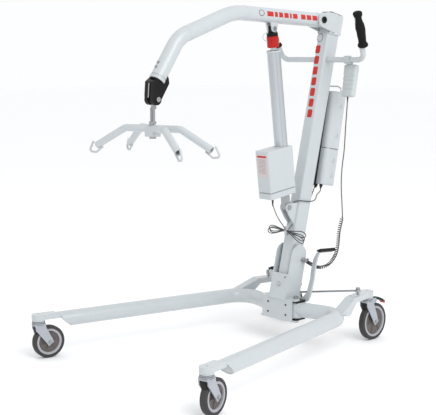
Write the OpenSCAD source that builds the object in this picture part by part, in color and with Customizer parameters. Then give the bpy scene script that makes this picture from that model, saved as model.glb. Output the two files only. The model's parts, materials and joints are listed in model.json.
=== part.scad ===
// Mobile patient lift: spreading legs on four casters, a leaning mast, a powered boom
// and a four-point spreader bar. Millimetres, +Z up, front of the hoist towards -Y.

/* [Overall] */
// Height of the mast top above the floor
mast_top = 1309; // [1090:1:1580]
// Length of each leg from its bend to the front caster
leg_len = 942; // [780:1:1150]
// Splay of each leg as drawn, degrees
splay = 12.1; // [9:0.1:14]
// Backward lean of the mast, degrees
lean = 13.3; // [11:0.1:15]

/* [Base] */
// Outside diameter of the leg tubes
leg_d = 60; // [50:1:64]
// Wall of the leg and boom tubes
wall = 3; // [2:0.5:5]
// Diameter of the front wheels
front_wheel_d = 125; // [100:1:150]
// Diameter of the rear wheels
rear_wheel_d = 150; // [125:1:180]
// Width of the tyres
tyre_w = 26; // [20:1:30]
// Diameter of the leg pivot bolts
pivot_d = 14; // [10:1:18]
// Running clearance of pins in their bores, on the radius
fit = 0.05; // [0.02:0.01:0.1]
// Half width of the front plate
plate_half = 80; // [78:1:90]

/* [Mast and boom] */
// Width of the mast section
mast_w = 55; // [50:1:55]
// Depth of the mast section
mast_d = 70; // [60:1:80]
// Outside diameter of the boom tube
boom_d = 57; // [47:0.5:58]
// Diameter of the boom hinge bolt
hinge_d = 20; // [14:1:24]

/* [Actuator] */
// Outside diameter of the lifting column
column_d = 52; // [50:1:60]
// Width of the motor housing
motor_w = 74; // [60:1:84]
// Diameter of the inner tube
rod_d = 24; // [16:1:26]

/* [Battery] */
// Depth of the battery and the control box
pack_d = 80; // [70:1:90]

/* [Spreader] */
// Half distance between the arm ends, side to side
tip_x = 220; // [170:1:265]
// Half distance between the arm ends, front to back
tip_y = 76; // [60:1:110]
// Distance from the hub to the bend of each arm
shoulder = 112; // [80:1:130]
// Fall of each arm beyond its bend, degrees
drop = 29; // [20:1:45]
// Diameter of the spreader tubes
arm_d = 26; // [22:1:30]

/* [Handle and handset] */
// Half width of the push handle
handle_half = 214; // [170:1:250]
// Diameter of the push handle tube
handle_d = 22; // [20:1:25]
// Width of the handset
handset_w = 62; // [50:1:70]
// Thickness of the handset
handset_t = 28; // [22:1:32]

/* [Hidden] */
$fn = 48;
gap = 0.4;
origin_shift = 222;

white = [0.87, 0.91, 0.94];
black = [0.07, 0.07, 0.08];
steel = [0.68, 0.69, 0.71];
grey = [0.62, 0.63, 0.66];
dark_grey = [0.30, 0.30, 0.31];
red = [0.80, 0.12, 0.08];

arm_t = 20;
front_under = front_wheel_d + 27;
rear_under = rear_wheel_d + 34;
leg_z = front_under + arm_t - leg_d / 2;
glide_t = 8;
plate_t = 5;
hub_h = leg_d + 1;
base_low = leg_z - hub_h / 2 - glide_t - plate_t - gap;
base_top = leg_z + hub_h / 2 + glide_t + plate_t + gap;
base_deep = 76;
pivot_x = 66;
pivot_y = 11 + leg_d / 2;
inner_dir = 16;
bend_r = 85;
leg_line = 289.5;
inner_len = (leg_line - pivot_x - pivot_y * tan(splay))
    / (cos(inner_dir) + sin(inner_dir) * tan(splay));
corner = [pivot_x + inner_len * cos(inner_dir), pivot_y + inner_len * sin(inner_dir)];
rear_len = 192;
ball_back = 112;
brake_y = 33;
brake_z = rear_under - 21;

mast_y = 47;
mast_z = 190;
mast_len = (mast_top - mast_z) / cos(lean);
hinge_v = -83.5;
hinge_w = mast_len - 44.6;
hinge_y = mast_y + hinge_v * cos(lean) + hinge_w * sin(lean);
hinge_z = mast_z - hinge_v * sin(lean) + hinge_w * cos(lean);
foot_v = -80.9;
foot_w = 346.7;
foot_y = mast_y + foot_v * cos(lean) + foot_w * sin(lean);
foot_z = mast_z - foot_v * sin(lean) + foot_w * cos(lean);

boom_pts = [[28, -1], [-470, 17], [-742, -79], [-845, -230]];
boom_bends = [0, 260, 120, 0];
top_pin = [-263.5, -39];
clevis_pin = [-859, -294];
pin_y = hinge_y + top_pin[0];
pin_z = hinge_z + top_pin[1];
stroke_now = norm([pin_y - foot_y, pin_z - foot_z]);
act_lean = atan2(foot_y - pin_y, pin_z - foot_z);
column_top = stroke_now - 90;

rock_y = 78;
rock_z = leg_z + 13;
rock_tilt = 22.5;
crank_r = 31;

hub_y = hinge_y + clevis_pin[0] - 5;
bar_top = hinge_z + clevis_pin[1];
arm_fall = 101;
arm_z = bar_top - arm_fall;
hub_low = 28;
stud_low = arm_fall + hub_low + 7.4;
tip_r = norm([tip_x, tip_y]);
tip_turn = atan2(tip_y, tip_x);
hook_start = [-24, 24 * tan(drop) - (arm_d / 2 + 3.4) / cos(drop)];

bar_y = 256 + (mast_top - 1309) * tan(lean);
bar_z = 1128 + (mast_top - 1309);
bar_lean = 24.2;
handset_x = 133;
handset_back = 14 + handset_t;
pack_w0 = 465;
pack_tilt = 2.3;
pack_mid = 2 + pack_d / 2;

function unit(v) = v / norm(v);
function turn_of(a, b) = atan2(a[0] * b[1] - a[1] * b[0], a[0] * b[0] + a[1] * b[1]);

tip_dir = unit(boom_pts[3] - boom_pts[2]);

// Round rod along flat points with bends of the given radii
module bent_rod(pts, bends, r) {
    last = len(pts) - 1;
    for (i = [0:last - 1]) {
        d = unit(pts[i + 1] - pts[i]);
        cut_a = i == 0 ? 0
            : bends[i] * tan(abs(turn_of(unit(pts[i] - pts[i - 1]), d)) / 2);
        cut_b = i == last - 1 ? 0
            : bends[i + 1] * tan(abs(turn_of(d, unit(pts[i + 2] - pts[i + 1]))) / 2);
        start = pts[i] + d * cut_a;
        span = norm(pts[i + 1] - pts[i]) - cut_a - cut_b;
        translate([start[0], start[1], 0])
            rotate([0, 90, atan2(d[1], d[0])])
                cylinder(r = r, h = span);
    }
    for (i = [1:max(1, last - 1)]) if (last > 1) {
        d1 = unit(pts[i] - pts[i - 1]);
        d2 = unit(pts[i + 1] - pts[i]);
        turn = turn_of(d1, d2);
        side = turn > 0 ? 1 : -1;
        n = side * [-d1[1], d1[0]];
        back = bends[i] * tan(abs(turn) / 2);
        centre = pts[i] - d1 * back + n * bends[i];
        from = atan2(-n[1], -n[0]);
        lap = sqrt(0.1 / bends[i]) * 180 / PI;
        translate([centre[0], centre[1], 0])
            rotate([0, 0, turn > 0 ? from - lap : from - abs(turn) - lap])
                rotate_extrude(angle = abs(turn) + 2 * lap)
                    translate([bends[i], 0]) circle(r = r - max(0.08, r / 110));
    }
}

module rounded(w, d, r) {
    square([w - 2 * r, d], center = true);
    square([w, d - 2 * r], center = true);
    for (x = [-1, 1]) for (y = [-1, 1])
        translate([x * (w / 2 - r), y * (d / 2 - r)]) circle(r = r);
}

module block(w, d, h, r) {
    linear_extrude(h) rounded(w, d, r);
}

// Box with rounded upright edges and softer top and bottom edges
module soft_box(w, d, h, r, r2) {
    intersection() {
        block(w, d, h, r);
        translate([0, -d / 2 - 1, h / 2]) rotate([-90, 0, 0]) block(w, h, d + 2, r2);
        translate([-w / 2 - 1, 0, h / 2]) rotate([90, 0, 90]) block(d, h, w + 2, r2);
    }
}

module paint(tone) {
    color(tone) translate([0, origin_shift, 0]) children();
}

// Side view frame: x drawn to the back, y drawn upwards, extruded across the hoist
module side_view() {
    rotate([90, 0, 90]) children();
}

module slab(t) {
    side_view() translate([0, 0, -t / 2]) linear_extrude(t) children();
}

module cross_pin(r, half) {
    side_view() cylinder(r = r, h = 2 * half, center = true);
}

module on_mast() {
    translate([0, mast_y, mast_z]) rotate([-lean, 0, 0]) children();
}

module on_boom() {
    translate([0, hinge_y, hinge_z]) children();
}

module on_actuator() {
    translate([0, foot_y, foot_z]) rotate([act_lean, 0, 0]) children();
}

module both_sides() {
    children();
    mirror([1, 0, 0]) children();
}

// Base bracket and what is bolted to it
module base_bracket() {
    paint(white) difference() {
        union() {
            translate([-plate_half, 0, base_low])
                cube([2 * plate_half, plate_t, base_top - base_low]);
            for (z = [base_low, base_top - plate_t]) difference() {
                translate([-plate_half - 12, plate_t, z])
                    cube([2 * plate_half + 24, base_deep - plate_t, plate_t]);
                both_sides() translate([plate_half + 12, base_deep, z - 1])
                    rotate([0, 0, 45]) cube([60, 60, 3 * plate_t], center = true);
            }
            translate([-26, base_deep - plate_t, base_low + plate_t])
                cube([52, plate_t, base_top - base_low - 2 * plate_t]);
            translate([0, base_deep, rock_z]) rotate([-90, 0, 0]) cylinder(r = 13, h = 1.6);
            difference() {
                on_mast() union() {
                    translate([-43, -46, -30]) cube([86, plate_t, 30 + 84]);
                    for (x = [-43, 38]) translate([x, -3, 85]) side_view()
                        linear_extrude(5) union() {
                            translate([-43, -115]) square([86, 195]);
                            translate([0, 80]) circle(r = 43);
                        }
                }
                translate([-100, -80, base_top - plate_t - 200]) cube([200, 300, 200]);
            }
        }
        both_sides() for (z = [-20.4, 20.4])
            translate([47.8, -1, leg_z + z]) rotate([-90, 0, 0]) cylinder(r = 3, h = 9);
        both_sides() translate([pivot_x, pivot_y, base_low - 1])
            cylinder(r = pivot_d / 2 + fit, h = base_top - base_low + 2);
        translate([0, base_deep - 8, rock_z]) rotate([-90, 0, 0]) cylinder(r = 8 + fit, h = 12);
        on_mast() translate([0, -50, 40]) rotate([-90, 0, 0]) cylinder(r = 6, h = 12);
        on_mast() translate([0, 22, 150]) cross_pin(5 + fit, 50);
    }
}

module bracket_screws() {
    paint(dark_grey) {
        both_sides() for (z = [-20.4, 20.4]) translate([47.8, 0, leg_z + z])
            rotate([-90, 0, 0]) {
                translate([0, 0, -1.6]) cylinder(r = 4, h = 1.6);
                cylinder(r = 3 - fit, h = 9);
            }
        on_mast() translate([0, -49, 40]) rotate([-90, 0, 0]) {
            cylinder(r = 8, h = 3);
            cylinder(r = 6 - fit, h = 9);
        }
    }
}

module steel_bolts() {
    paint(steel) both_sides() translate([pivot_x, pivot_y, 0]) {
        translate([0, 0, base_low - 10]) cylinder(r = pivot_d / 2, h = base_top - base_low + 20);
        translate([0, 0, base_low - 9]) cylinder(r = pivot_d / 2 + 3.5, h = 9);
        translate([0, 0, base_top]) cylinder(r = pivot_d / 2 + 3.5, h = 7);
    }
    paint(steel) on_mast() translate([0, 22, 150]) {
        cross_pin(5, 50);
        translate([-49, 0, 0]) side_view() cylinder(r = 9, h = 6);
        translate([43, 0, 0]) side_view() cylinder(r = 9, h = 6);
    }
    paint(steel) translate([0, foot_y, foot_z]) {
        cross_pin(6, 20);
        for (x = [18, -22]) translate([x, 0, 0]) side_view() cylinder(r = 10, h = 4);
    }
}

module glide_plates() {
    paint(black) both_sides() for (z = [base_low + plate_t, base_top - plate_t - glide_t])
        translate([pivot_x + 2, pivot_y, z]) difference() {
            block(52, 58, glide_t, 6);
            translate([-2, 0, -1]) cylinder(r = pivot_d / 2 + fit, h = glide_t + 2);
        }
}

// Mast and its head
module mast_tube() {
    paint(white) difference() {
        on_mast() difference() {
            translate([0, 0, -30]) block(mast_w, mast_d, mast_len + 29, 9);
            translate([0, 0, -40])
                block(mast_w - 2 * wall, mast_d - 2 * wall, mast_len + 50, 6);
            translate([0, 22, 150]) cross_pin(5 + fit, 40);
        }
        translate([-60, -40, base_top - 100]) cube([120, 200, 100]);
        translate([0, bar_y, bar_z]) cross_pin(handle_d / 2 + fit, 60);
    }
}

module mast_cap() {
    paint(black) on_mast() translate([0, 0, mast_len - 1])
        soft_box(mast_w, mast_d, 4, 9, 1.5);
}

module mast_head() {
    paint(white) on_mast() both_sides() union() {
        translate([mast_w / 2, 0, 0]) side_view() linear_extrude(32 - mast_w / 2)
            polygon([[-33, hinge_w - 42], [mast_d / 2, hinge_w - 36],
                [mast_d / 2, mast_len - 1], [-33, mast_len - 1]]);
        translate([30, 0, 0]) side_view() linear_extrude(6) difference() {
            union() {
                translate([hinge_v, hinge_w]) circle(r = 29);
                polygon([[hinge_v, hinge_w + 29], [hinge_v - 5, hinge_w - 28.5],
                    [-8, hinge_w - 34], [-8, mast_len - 1], [-60, mast_len - 6]]);
            }
            translate([hinge_v, hinge_w]) circle(r = hinge_d / 2 + fit);
        }
    }
}

module hinge_bolt() {
    paint(black) on_boom() difference() {
        union() {
            cross_pin(hinge_d / 2, 39);
            translate([36, 0, 0]) side_view() cylinder(r = hinge_d / 2 + 3, h = 5);
            translate([-41, 0, 0]) side_view() cylinder(r = hinge_d / 2 + 3, h = 5);
        }
        translate([36, 0, 0]) side_view() cylinder(r = 5, h = 6);
    }
}

// Push handle
module handle_plane() {
    translate([0, bar_y, bar_z]) rotate([90 + bar_lean, 0, 0]) children();
}

module push_handle() {
    paint(white) handle_plane()
        bent_rod([[-handle_half - 19, 190], [-handle_half, 0], [handle_half, 0],
            [handle_half + 19, 190]], [0, 34, 34, 0], handle_d / 2);
}

module grip_shape() {
    difference() {
        rotate_extrude() polygon([[0, 0], [18, 0], [20, 4], [18, 10], [15.5, 18], [16.5, 34],
            [15.2, 42], [16.8, 58], [15.2, 66], [16.8, 82], [15.2, 90], [16.6, 104],
            [15.4, 112], [17.5, 122], [19.5, 130], [17, 140], [10, 144], [0, 145]]);
        translate([0, 0, -1]) cylinder(r = handle_d / 2 + fit, h = 137);
    }
}

module grips() {
    paint(black) handle_plane() both_sides()
        translate([handle_half + 5.6, 56, 0]) rotate([-90, 0, -5.7]) grip_shape();
}

// Actuator
module actuator_foot() {
    paint(white) on_mast() difference() {
        both_sides() translate([12, 0, 0]) side_view() linear_extrude(6) union() {
            translate([foot_v, foot_w]) circle(r = 16);
            polygon([[foot_v, foot_w + 16], [-mast_d / 2, foot_w + 26], [-mast_d / 2, foot_w - 62],
                [foot_v + 12, foot_w - 36], [foot_v - 13, foot_w - 10]]);
        }
        translate([0, foot_v, foot_w]) cross_pin(6 + fit, 30);
    }
}

module motor_base() {
    paint(white) on_actuator() translate([0, -42, 56]) soft_box(motor_w, 144, 24, 10, 4);
}

module motor_eye() {
    paint(steel) on_actuator() difference() {
        union() {
            cross_pin(15, 11.5);
            translate([-11.5, -14, 0]) cube([23, 28, 56]);
        }
        cross_pin(6 + fit, 20);
    }
}

module motor_housing() {
    paint(white) on_actuator() translate([0, -42, 80.5]) soft_box(motor_w, 144, 167, 10, 7);
}

module column() {
    paint(steel) on_actuator() translate([0, 0, 247.6]) difference() {
        cylinder(d = column_d, h = column_top - 247.6);
        translate([0, 0, -1]) cylinder(d = column_d - 5, h = column_top);
        for (a = [30:60:330]) rotate([0, 0, a]) translate([column_d / 2, 0, -1])
            cylinder(r = 1.4, h = column_top);
    }
}

module column_collar() {
    paint(white) on_actuator() translate([0, 0, column_top]) rotate_extrude()
        polygon([[column_d / 2 - 2.5, 0], [column_d / 2 + 1.5, 0], [column_d / 2 + 2.5, 1],
            [column_d / 2 + 2.5, 5], [column_d / 2 + 1, 6.5], [column_d / 2 - 2.5, 6.5]]);
}

module inner_rod() {
    paint(steel) on_actuator() translate([0, 0, column_top - 165]) cylinder(d = rod_d, h = 212);
}

module release_collar() {
    paint(red) on_actuator() translate([0, 0, column_top + 18]) difference() {
        rotate_extrude() polygon([[0, 0], [21, 0], [23, 2], [23, 42], [21, 43], [0, 43]]);
        translate([0, 0, -1]) cylinder(d = rod_d + 2 * fit, h = 30);
        translate([0, 0, 28.9]) cylinder(d = rod_d + 2 * fit, h = 20);
        for (a = [0:30:330]) rotate([0, 0, a]) translate([23.6, 0, -1]) cylinder(r = 1.5, h = 50);
    }
}

module rod_end() {
    paint(black) on_actuator() difference() {
        union() {
            translate([0, 0, column_top + 61.6]) cylinder(r = 22, h = 12);
            translate([-8.5, -11, column_top + 73.6]) cube([17, 22, stroke_now - column_top - 73.6]);
            translate([0, 0, stroke_now]) cross_pin(11, 8.5);
        }
        translate([0, 0, stroke_now]) cross_pin(5 + fit, 20);
    }
}

// Control box, battery and rail behind the mast
module on_pack() {
    on_mast() translate([0, mast_d / 2 + 8, pack_w0 + 385]) rotate([pack_tilt, 0, 0])
        translate([0, 0, -385]) children();
}

module battery_rail() {
    paint(black) on_mast() translate([-16, 0, 0]) side_view() linear_extrude(32)
        polygon([[mast_d / 2, pack_w0 - 8], [mast_d / 2 + 22, pack_w0 - 8],
            [mast_d / 2 + 7.4, pack_w0 + 370], [mast_d / 2, pack_w0 + 370]]);
}

module control_box() {
    paint(white) on_pack() difference() {
        translate([0, pack_mid, 0]) soft_box(100, pack_d, 148, 22, 5);
        translate([0, pack_d - 6, 108]) rotate([-90, 0, 0]) cylinder(r = 7.4, h = 20);
    }
}

module battery_pack() {
    paint(white) on_pack() difference() {
        translate([0, pack_mid, 149]) soft_box(100, pack_d, 232, 22, 5);
        both_sides() translate([42, pack_mid, 364]) cylinder(r = 3, h = 20);
    }
}

module battery_handle() {
    paint(white) on_pack() translate([0, pack_mid, 372])
        rotate([90, 0, 0]) bent_rod([[-42, -6], [-42, 24], [-24, 34], [24, 34], [42, 24],
            [42, -6]], [0, 10, 10, 10, 10, 0], 3 - fit);
}

module stop_button() {
    paint(red) on_pack() translate([0, pack_d - 1, 108]) rotate([-90, 0, 0]) {
        cylinder(r = 7, h = 12);
        translate([0, 0, 8]) cylinder(r = 14, h = 9);
    }
}

// Legs
module leg_frame() {
    translate([corner[0], corner[1], 0]) rotate([0, 0, splay]) children();
}

module leg_tube_shape() {
    front = [corner[0] + leg_len * sin(splay), corner[1] - leg_len * cos(splay)];
    difference() {
        union() {
            translate([0, 0, leg_z])
                bent_rod([[pivot_x, pivot_y], corner, front], [0, bend_r, 0], leg_d / 2);
            translate([pivot_x, pivot_y, leg_z - hub_h / 2]) cylinder(d = leg_d + 3, h = hub_h);
        }
        translate([0, 0, leg_z]) bent_rod([[pivot_x + 34 * cos(inner_dir),
            pivot_y + 34 * sin(inner_dir)], corner, front], [0, bend_r, 0], leg_d / 2 - wall);
        translate([pivot_x, pivot_y, leg_z - leg_d]) cylinder(r = pivot_d / 2 + fit, h = 2 * leg_d);
        leg_frame() translate([0, 70 - leg_len, leg_z + leg_d / 2]) rotate([45, 0, 0])
            translate([-60, -300, -220]) cube([120, 300, 320]);
    }
    intersection() {
        leg_frame() translate([0, 60 - leg_len, leg_z]) rotate([-90, 0, 0])
            cylinder(r = leg_d / 2 - wall + 1, h = 110);
        leg_frame() translate([0, 70 - leg_len, leg_z + leg_d / 2]) rotate([45, 0, 0])
            translate([-60, 0.5, -220]) cube([120, 4, 320]);
    }
}

module front_arm_shape() {
    leg_frame() translate([0, -leg_len, front_under]) difference() {
        union() {
            cylinder(r = 26, h = arm_t);
            translate([-22, 0, 0]) cube([44, 70 + arm_t, arm_t]);
            translate([0, 0, -5]) cylinder(r = 25, h = 5);
        }
        translate([0, 0, -6]) cylinder(r = 8 + fit, h = arm_t + 2);
        translate([0, 0, -6]) cylinder(r = 4, h = arm_t + 20);
        translate([-40, 69.9, arm_t]) rotate([45, 0, 0])
            translate([0, 0, -60]) cube([80, 60, 80]);
    }
}

module rear_arm_shape() {
    leg_frame() difference() {
        union() {
            translate([-22, 0, 0]) rotate([90, 0, 90]) linear_extrude(44) polygon([
                [-72, leg_z + leg_d / 2 - 12], [-40, leg_z + leg_d / 2 - 14],
                [-14, leg_z + 2], [10, leg_z + 2], [58, rear_under],
                [rear_len, rear_under], [rear_len, rear_under + arm_t + 2],
                [48, rear_under + arm_t + 2], [34, rear_under + arm_t - 4]]);
            translate([0, rear_len, rear_under]) cylinder(r = 27, h = arm_t + 2);
            translate([0, rear_len, rear_under - 6]) cylinder(r = 25, h = 6);
        }
        translate([0, rear_len, rear_under - 7]) cylinder(r = 8 + fit, h = arm_t + 3);
        translate([0, rear_len, rear_under - 7]) cylinder(r = 4, h = arm_t + 20);
        translate([0, ball_back, rear_under - 1]) cylinder(r = 5 + fit, h = arm_t + 4);
    }
}

module rear_arm_clear() {
    difference() {
        rear_arm_shape();
        front = [corner[0] + leg_len * sin(splay), corner[1] - leg_len * cos(splay)];
        translate([0, 0, leg_z])
            bent_rod([[pivot_x, pivot_y], corner, front], [0, bend_r, 0], leg_d / 2);
    }
}

module tie_rod(end_z) {
    a = [ball_at[0], ball_at[1], rear_under + arm_t + 17];
    b = [-crank_r * sin(rock_tilt), rock_y + 62, end_z];
    run = b - a;
    flat = norm([run[0], run[1]]);
    turn = atan2(run[1], run[0]);
    difference() {
        union() {
            translate(a) rotate([0, 0, turn]) {
                cylinder(r = 10, h = 11, center = true);
                rotate([0, atan2(-run[2], flat), 0]) rotate([0, 90, 0])
                    cylinder(r = 4, h = norm(run));
            }
            translate(b) rotate([90, 0, 0]) cylinder(r = 13, h = 8, center = true);
        }
        translate(b) rotate([90, 0, 0]) cylinder(r = 8.6, h = 30, center = true);
    }
    translate(a - [0, 0, 31]) cylinder(r = 5, h = 38);
}

ball_at = [corner[0] - ball_back * sin(splay), corner[1] + ball_back * cos(splay)];

module leg_left() {
    paint(white) leg_tube_shape();
}

module leg_right() {
    paint(white) mirror([1, 0, 0]) leg_tube_shape();
}

module leg_arms_left() {
    paint(white) {
        front_arm_shape();
        rear_arm_clear();
    }
}

module leg_arms_right() {
    paint(white) mirror([1, 0, 0]) {
        front_arm_shape();
        rear_arm_clear();
    }
}

module tie_rod_left() {
    paint(steel) tie_rod(rock_z + crank_r * cos(rock_tilt));
}

module tie_rod_right() {
    paint(steel) mirror([1, 0, 0]) tie_rod(rock_z - crank_r * cos(rock_tilt));
}

// Leg spreading rocker
module on_rocker() {
    translate([0, rock_y, rock_z]) rotate([0, -rock_tilt, 0]) children();
}

module lever_plane() {
    translate([0, 10, -24]) rotate([-24.2, 0, 0]) rotate([90, 0, 0]) children();
}

module rocker() {
    paint(white) on_rocker() {
        rotate([-90, 0, 0]) cylinder(r = 12, h = 56);
        rotate([90, 0, 0]) cylinder(r = 8, h = 7.4);
        both_sides() lever_plane() linear_extrude(7) polygon([[0, 12], [0, 36], [60, 26],
            [84, 42], [100, 90], [108, 140], [118, 176], [138, 200], [152, 196], [140, 176],
            [130, 140], [122, 90], [104, 24], [92, 6], [60, 2]]);
        rotate([-90, 0, 0]) translate([0, 0, 46]) linear_extrude(10) union() {
            square([22, 2 * crank_r], center = true);
            for (y = [-1, 1]) translate([0, y * crank_r]) circle(r = 11);
        }
        for (z = [-1, 1]) translate([0, 50, z * crank_r]) rotate([-90, 0, 0]) cylinder(r = 4.5, h = 20);
    }
}

module pedal_pads() {
    paint(black) on_rocker() both_sides() translate([145, 93, 158]) rotate([-4, 0, 0])
        translate([0, 42, 0]) difference() {
            soft_box(26, 92, 13, 6, 4);
            translate([-20, -50, -1]) cube([15, 20, 8]);
        }
}

// Casters: origin on the floor under the swivel, wheel trailing towards +Y
module caster_fork(wheel_d, under, trail) {
    r = wheel_d / 2;
    head = under - 5.4 - gap;
    half = tyre_w / 2 + 3;
    translate([0, 0, head - 18]) cylinder(r = 23, h = 18);
    translate([0, 0, head - 2]) cylinder(r = 8, h = 22);
    translate([-half - 4, -20, head - 20]) cube([2 * half + 8, 42, 12]);
    for (x = [-half - 4, half]) translate([x, 0, 0]) side_view() linear_extrude(4)
        polygon([[-20, head - 8], [-18, head - 34], [trail - 14, r - 2], [trail - 5, r - 15],
            [trail + 15, r], [trail + 10, r + 12], [22, head - 22], [22, head - 8]]);
    translate([0, trail, r]) cross_pin(5, half + 7);
}

module brake_ears() {
    half = tyre_w / 2 + 3;
    for (x = [-half - 4, half]) translate([x, 0, 0]) side_view() linear_extrude(4)
        polygon([[10, rear_under - 8.8], [brake_y + 3, rear_under - 11], [brake_y + 7, brake_z + 5],
            [brake_y + 8, brake_z - 3], [brake_y + 4, brake_z - 8], [brake_y - 6, brake_z - 9],
            [10, brake_z - 12]]);
    translate([0, brake_y, brake_z]) cross_pin(3, half + 6);
}

module tyre(wheel_d) {
    side_view() rotate_extrude() translate([wheel_d / 2 - 7, 0])
        difference() {
            rounded(14, tyre_w, 5);
            translate([-8, -20]) square([3, 40]);
        }
}

module hub(wheel_d) {
    edge = wheel_d / 2 - 12;
    side_view() rotate_extrude() polygon([[5 + fit, -tyre_w / 2 - 1], [13, -tyre_w / 2 - 1],
        [15, -4], [edge - 8, -5], [edge - 7, -tyre_w / 2 + 2], [edge, -tyre_w / 2 + 2],
        [edge, tyre_w / 2 - 2], [edge - 7, tyre_w / 2 - 2], [edge - 8, 5], [15, 4],
        [13, tyre_w / 2 + 1], [5 + fit, tyre_w / 2 + 1]]);
}

module at_front() {
    leg_frame() translate([0, -leg_len, 0]) children();
}

module at_rear() {
    leg_frame() translate([0, rear_len, 0]) rotate([0, 0, -splay]) children();
}

module front_fork_left() {
    paint(grey) at_front() caster_fork(front_wheel_d, front_under, 38);
}

module front_fork_right() {
    paint(grey) mirror([1, 0, 0]) at_front() caster_fork(front_wheel_d, front_under, 38);
}

module rear_fork_left() {
    paint(grey) at_rear() {
        caster_fork(rear_wheel_d, rear_under - 1, 40);
        brake_ears();
    }
}

module rear_fork_right() {
    paint(grey) mirror([1, 0, 0]) at_rear() {
        caster_fork(rear_wheel_d, rear_under - 1, 40);
        brake_ears();
    }
}

module front_tyre_left() {
    paint(dark_grey) at_front() translate([0, 38, front_wheel_d / 2]) tyre(front_wheel_d);
}

module front_tyre_right() {
    paint(dark_grey) mirror([1, 0, 0]) at_front()
        translate([0, 38, front_wheel_d / 2]) tyre(front_wheel_d);
}

module rear_tyre_left() {
    paint(dark_grey) at_rear() translate([0, 40, rear_wheel_d / 2]) tyre(rear_wheel_d);
}

module rear_tyre_right() {
    paint(dark_grey) mirror([1, 0, 0]) at_rear()
        translate([0, 40, rear_wheel_d / 2]) tyre(rear_wheel_d);
}

module front_hub_left() {
    paint(grey) at_front() translate([0, 38, front_wheel_d / 2]) hub(front_wheel_d);
}

module front_hub_right() {
    paint(grey) mirror([1, 0, 0]) at_front()
        translate([0, 38, front_wheel_d / 2]) hub(front_wheel_d);
}

module rear_hub_left() {
    paint(grey) at_rear() translate([0, 40, rear_wheel_d / 2]) hub(rear_wheel_d);
}

module brake_left() {
    paint(dark_grey) brake_shape();
}

module brake_right() {
    paint(dark_grey) mirror([1, 0, 0]) brake_shape();
}

module rear_hub_right() {
    paint(grey) mirror([1, 0, 0]) at_rear()
        translate([0, 40, rear_wheel_d / 2]) hub(rear_wheel_d);
}

module brake_shape() {
    at_rear() translate([0, brake_y, brake_z]) difference() {
        union() {
            cross_pin(6.5, tyre_w / 2 + 2.6);
            translate([-11, 0, 0]) side_view() linear_extrude(22) polygon([[0, 6.5], [32, 9],
                [58, -2], [76, -14], [73, -20], [54, -9], [32, 1], [5, -4]]);
        }
        cross_pin(3 + fit, 30);
    }
}

// Boom
module boom_tube() {
    paint(white) on_boom() side_view() difference() {
        union() {
            bent_rod(boom_pts, boom_bends, boom_d / 2);
            for (x = [-15, 10]) translate([top_pin[0], top_pin[1], x]) linear_extrude(5) union() {
                circle(r = 14);
                polygon([[-14, 0], [-22, 28], [26, 28], [14, 0]]);
            }
        }
        bent_rod([[-34, 1], boom_pts[1], boom_pts[2], boom_pts[3]], boom_bends, boom_d / 2 - wall);
        cylinder(r = hinge_d / 2 + fit, h = 100, center = true);
        translate([top_pin[0], top_pin[1], 0]) cylinder(r = 5 + fit, h = 60, center = true);
    }
}

module clevis() {
    paint(black) on_boom() difference() {
        union() {
            difference() {
                slab(46) union() {
                    polygon([[-826, -196], [-878, -232], [-882, -284], [-872, -300],
                        [-850, -300], [-840, -292], [-806, -240], [-808, -222]]);
                    translate([-862, -294]) circle(r = 20);
                }
                side_view() bent_rod([boom_pts[3] - 70 * tip_dir, boom_pts[3] + 0.1 * tip_dir],
                    [0, 0], boom_d / 2 + 0.1);
            }
            side_view() bent_rod([boom_pts[3] - 52 * tip_dir, boom_pts[3] + 3 * tip_dir],
                [0, 0], boom_d / 2 - wall - 0.1);
        }
        translate([-7, -905, -330]) cube([14, 55, 92]);
        translate([-7, -905, -330]) cube([14, 130, 52]);
        translate([0, clevis_pin[0], clevis_pin[1]]) cross_pin(6 + fit, 40);
    }
}

module boom_bolts() {
    paint(steel) on_boom() {
        translate([0, top_pin[0], top_pin[1]]) {
            cross_pin(5, 17);
            for (x = [15, -19]) translate([x, 0, 0]) side_view() cylinder(r = 8, h = 4);
        }
        translate([0, clevis_pin[0], clevis_pin[1]]) {
            cross_pin(6, 27);
            for (x = [23, -28]) translate([x, 0, 0]) side_view() cylinder(r = 9, h = 5);
        }
        side_view() for (s = [40, 58]) for (k = [-1, 1])
            translate(boom_pts[3] - tip_dir * s)
                rotate([0, 0, atan2(tip_dir[1], tip_dir[0])]) rotate([k * 90, 0, 0])
                    translate([0, 0, boom_d / 2]) cylinder(r = 5, h = 4);
    }
}

// Spreader bar and its hanger
module on_hanger() {
    translate([0, hub_y, bar_top]) children();
}

module eye_bar() {
    paint(steel) difference() {
        union() {
            translate([0, hinge_y + clevis_pin[0], bar_top]) cross_pin(14, 6.5);
            on_hanger() {
                translate([-6.5, -2, -34]) cube([13, 14, 30]);
                for (x = [-6, 6]) translate([x, 0, -78]) cylinder(r = 5, h = 50);
                translate([0, 0, -86]) cylinder(r = 13, h = 10);
                translate([0, 0, -stud_low]) cylinder(r = 7, h = stud_low - 84);
                translate([0, 0, -stud_low]) cylinder(r = 12, h = 7);
            }
        }
        translate([0, hinge_y + clevis_pin[0], bar_top]) cross_pin(6 + fit, 40);
    }
}

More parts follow.
